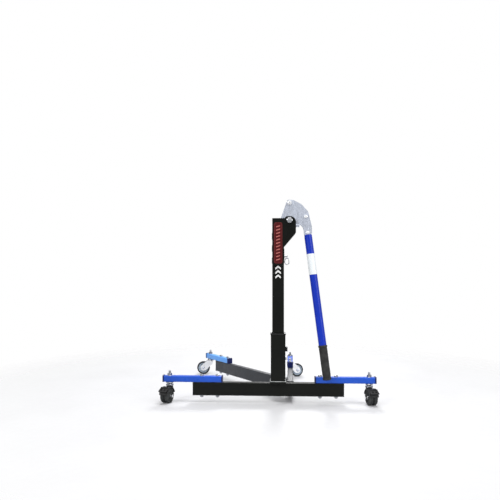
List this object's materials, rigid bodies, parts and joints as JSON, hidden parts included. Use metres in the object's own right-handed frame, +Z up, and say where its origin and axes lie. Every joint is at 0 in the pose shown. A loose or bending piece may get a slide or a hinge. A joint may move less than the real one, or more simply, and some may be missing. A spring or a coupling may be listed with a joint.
{
  "type": "motorcycle paddock stand",
  "caption": "Wheeled central paddock stand: black base and telescopic mast, blue castor arms and a blue hand lever that lifts the machine by an over-centre plate and pin.",
  "frame": {"origin": "on the floor under the middle of the footprint", "axes": "+X along the front rail, +Y from the user under the motorcycle, +Z up"},
  "size_m": [0.8873, 0.7175, 0.836],
  "materials": {
    "black_powder_coat": "satin powder coat",
    "slate_powder_coat": "satin powder coat",
    "blue_powder_coat": "gloss powder coat",
    "navy_plastic": "satin",
    "black_plastic": "satin",
    "zinc_steel": "bright zinc plated",
    "chrome": "polished",
    "bronze": "machined",
    "red_label": "printed film",
    "red_print": "printed film",
    "white_mark": "printed film",
    "white_band": "reflective film",
    "grip_rubber": "ribbed",
    "twin_wheel_rubber": "matt",
    "tyre_rubber": "matt",
    "hub_plastic": "moulded"
  },
  "bodies": {
    "base": {"base_rail": "black_powder_coat", "leg_straight": "slate_powder_coat", "leg_oblique": "slate_powder_coat", "beam_end_caps": "black_plastic", "foot_plate": "black_powder_coat", "foot_gussets": "black_powder_coat", "mast_outer_tube": "black_powder_coat", "mast_collar": "black_plastic", "clamp_bolt": "zinc_steel", "arm_front_left": "blue_powder_coat", "arm_front_right": "blue_powder_coat", "arm_rear_left": "blue_powder_coat", "arm_rear_right": "blue_powder_coat", "arm_end_caps": "navy_plastic", "arm_bolts": "zinc_steel", "arm_nuts": "zinc_steel", "castor_stems": "zinc_steel", "castor_nuts": "zinc_steel"},
    "knob": {"clamp_knob": "black_plastic"},
    "mast": {"mast_inner_tube": "black_powder_coat", "mast_guide_block": "black_plastic", "cheek_front": "black_powder_coat", "cheek_rear": "black_powder_coat", "head_stop": "zinc_steel", "mast_label": "red_label", "label_print": "red_print", "mast_mark": "white_mark", "pivot_bolt": "chrome", "pivot_nut": "zinc_steel"},
    "locking_pin": {"lock_pin": "chrome"},
    "pull_ring": {"lock_ring": "chrome"},
    "lever": {"lifting_plate": "zinc_steel", "pivot_hub": "zinc_steel", "adapter_bush": "bronze", "lever_tongue": "blue_powder_coat", "lever_bolts": "zinc_steel", "lever_tube": "blue_powder_coat", "lever_band": "white_band", "lever_grip": "grip_rubber"},
    "adapter": {"adapter_pin": "chrome", "adapter_screw": "chrome"},
    "front_left_swivel": {"front_left_fork": "black_plastic", "front_left_axle": "chrome"},
    "front_left_brake": {"front_left_pedal": "black_plastic"},
    "front_left_inner": {"front_left_wheel_inner": "twin_wheel_rubber"},
    "front_left_outer": {"front_left_wheel_outer": "twin_wheel_rubber"},
    "front_right_swivel": {"front_right_fork": "black_plastic", "front_right_axle": "chrome"},
    "front_right_brake": {"front_right_pedal": "black_plastic"},
    "front_right_inner": {"front_right_wheel_inner": "twin_wheel_rubber"},
    "front_right_outer": {"front_right_wheel_outer": "twin_wheel_rubber"},
    "rear_left_swivel": {"rear_left_fork": "chrome", "rear_left_axle": "zinc_steel"},
    "rear_left_wheel": {"rear_left_tyre": "tyre_rubber", "rear_left_hub": "hub_plastic"},
    "rear_right_swivel": {"rear_right_fork": "chrome", "rear_right_axle": "zinc_steel"},
    "rear_right_wheel": {"rear_right_tyre": "tyre_rubber", "rear_right_hub": "hub_plastic"}
  },
  "joints": [
    {"name": "height_slide", "type": "slide", "parent": "base", "child": "mast", "axis": [0, 0, 1], "range_m": [-0.015, 0.045]},
    {"name": "knob_turn", "type": "hinge", "parent": "base", "child": "knob", "pos_m": [0.072, -0.2887, 0.221], "axis": [1, 0, 0], "range_deg": [0, 350]},
    {"name": "lever_swing", "type": "hinge", "parent": "mast", "child": "lever", "pos_m": [0.088, -0.2887, 0.749], "axis": [0, -1, 0], "range_deg": [0, 95]},
    {"name": "adapter_turn", "type": "hinge", "parent": "lever", "child": "adapter", "pos_m": [0.088, -0.2887, 0.823], "axis": [0, 1, 0], "continuous": true},
    {"name": "lock_pull", "type": "slide", "parent": "mast", "child": "locking_pin", "axis": [1, 0, 0], "range_m": [0, 0.066]},
    {"name": "ring_swing", "type": "hinge", "parent": "locking_pin", "child": "pull_ring", "pos_m": [0.079, -0.2887, 0.5962], "axis": [1, 0, 0], "range_deg": [-60, 60]},
    {"name": "front_left_castor_turn", "type": "hinge", "parent": "base", "child": "front_left_swivel", "pos_m": [-0.409, -0.2887, 0.07], "axis": [0, 0, 1], "continuous": true},
    {"name": "front_left_pedal_press", "type": "hinge", "parent": "front_left_swivel", "child": "front_left_brake", "pos_m": [-0.4214, -0.33195, 0.064], "axis": [0.9613, -0.2756, 0], "range_deg": [0, 14]},
    {"name": "front_left_inner_roll", "type": "hinge", "parent": "front_left_swivel", "child": "front_left_inner", "pos_m": [-0.41562, -0.31177, 0.03], "axis": [0.9613, -0.2756, 0], "continuous": true},
    {"name": "front_left_outer_roll", "type": "hinge", "parent": "front_left_swivel", "child": "front_left_outer", "pos_m": [-0.41562, -0.31177, 0.03], "axis": [0.9613, -0.2756, 0], "continuous": true},
    {"name": "front_right_castor_turn", "type": "hinge", "parent": "base", "child": "front_right_swivel", "pos_m": [0.414, -0.2887, 0.07], "axis": [0, 0, 1], "continuous": true},
    {"name": "front_right_pedal_press", "type": "hinge", "parent": "front_right_swivel", "child": "front_right_brake", "pos_m": [0.42259, -0.33287, 0.064], "axis": [0.9816, 0.1908, 0], "range_deg": [0, 14]},
    {"name": "front_right_inner_roll", "type": "hinge", "parent": "front_right_swivel", "child": "front_right_inner", "pos_m": [0.41858, -0.31226, 0.03], "axis": [0.9816, 0.1908, 0], "continuous": true},
    {"name": "front_right_outer_roll", "type": "hinge", "parent": "front_right_swivel", "child": "front_right_outer", "pos_m": [0.41858, -0.31226, 0.03], "axis": [0.9816, 0.1908, 0], "continuous": true},
    {"name": "rear_left_castor_turn", "type": "hinge", "parent": "base", "child": "rear_left_swivel", "pos_m": [-0.31585, 0.32879, 0.07], "axis": [0, 0, 1], "continuous": true},
    {"name": "rear_left_roll", "type": "hinge", "parent": "rear_left_swivel", "child": "rear_left_wheel", "pos_m": [-0.3538, 0.3268, 0.034], "axis": [0.0523, -0.9986, 0], "continuous": true},
    {"name": "rear_right_castor_turn", "type": "hinge", "parent": "base", "child": "rear_right_swivel", "pos_m": [0.10973, 0.26507, 0.07], "axis": [0, 0, 1], "continuous": true},
    {"name": "rear_right_roll", "type": "hinge", "parent": "rear_right_swivel", "child": "rear_right_wheel", "pos_m": [0.14497, 0.27931, 0.034], "axis": [-0.3746, 0.9272, 0], "continuous": true}
  ]
}
